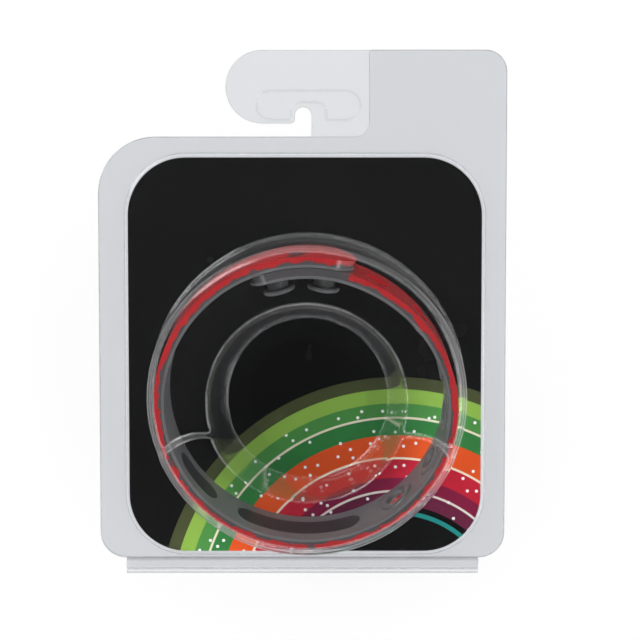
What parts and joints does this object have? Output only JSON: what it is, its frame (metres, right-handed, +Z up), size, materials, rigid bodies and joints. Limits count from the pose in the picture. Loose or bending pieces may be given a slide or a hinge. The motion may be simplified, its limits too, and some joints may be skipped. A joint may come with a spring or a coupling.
{
  "type": "wrist strap in a clamshell pack",
  "caption": "Adjustable two-colour silicone wrist strap held in the ring-shaped bubble of a clear folded clamshell with a hook hanger, over a printed card.",
  "frame": {"origin": "middle of the face that the pack lies on, its closed back sheet", "axes": "+X to the right across the pack, +Y from the fold towards the hanger, +Z up out of the front"},
  "size_m": [0.0864, 0.1112, 0.0274],
  "materials": {
    "clear_sheet": "clear formed sheet",
    "printed_card": "satin print",
    "red_silicone": "satin silicone",
    "dark_silicone": "satin silicone",
    "inlay": "matt silicone"
  },
  "bodies": {
    "back_shell": {"back_panel": "clear_sheet", "hook_hanger": "clear_sheet", "hinge_leaf_back": "clear_sheet"},
    "front_shell": {"front_flange": "clear_sheet", "card_tray": "clear_sheet", "ring_bubble": "clear_sheet", "bubble_crown": "clear_sheet", "hub_cup": "clear_sheet", "front_hang_tab": "clear_sheet", "hinge_leaf_front": "clear_sheet", "insert_card": "printed_card"},
    "strap": {"strap_outer_skin": "red_silicone", "strap_inner_skin": "dark_silicone", "closure_stud_1": "dark_silicone", "closure_stud_2": "dark_silicone", "inlay_long": "inlay", "inlay_short": "inlay"}
  },
  "joints": [
    {"name": "clamshell_hinge", "type": "hinge", "parent": "back_shell", "child": "front_shell", "pos_m": [0, -0.05513, 0.00052], "axis": [1, 0, 0], "range_deg": [0, 180]},
    {"name": "strap_turn", "type": "hinge", "parent": "front_shell", "child": "strap", "pos_m": [0.00114, -0.01645, 0.01423], "axis": [0, -0.2079, 0.9781], "continuous": true}
  ]
}
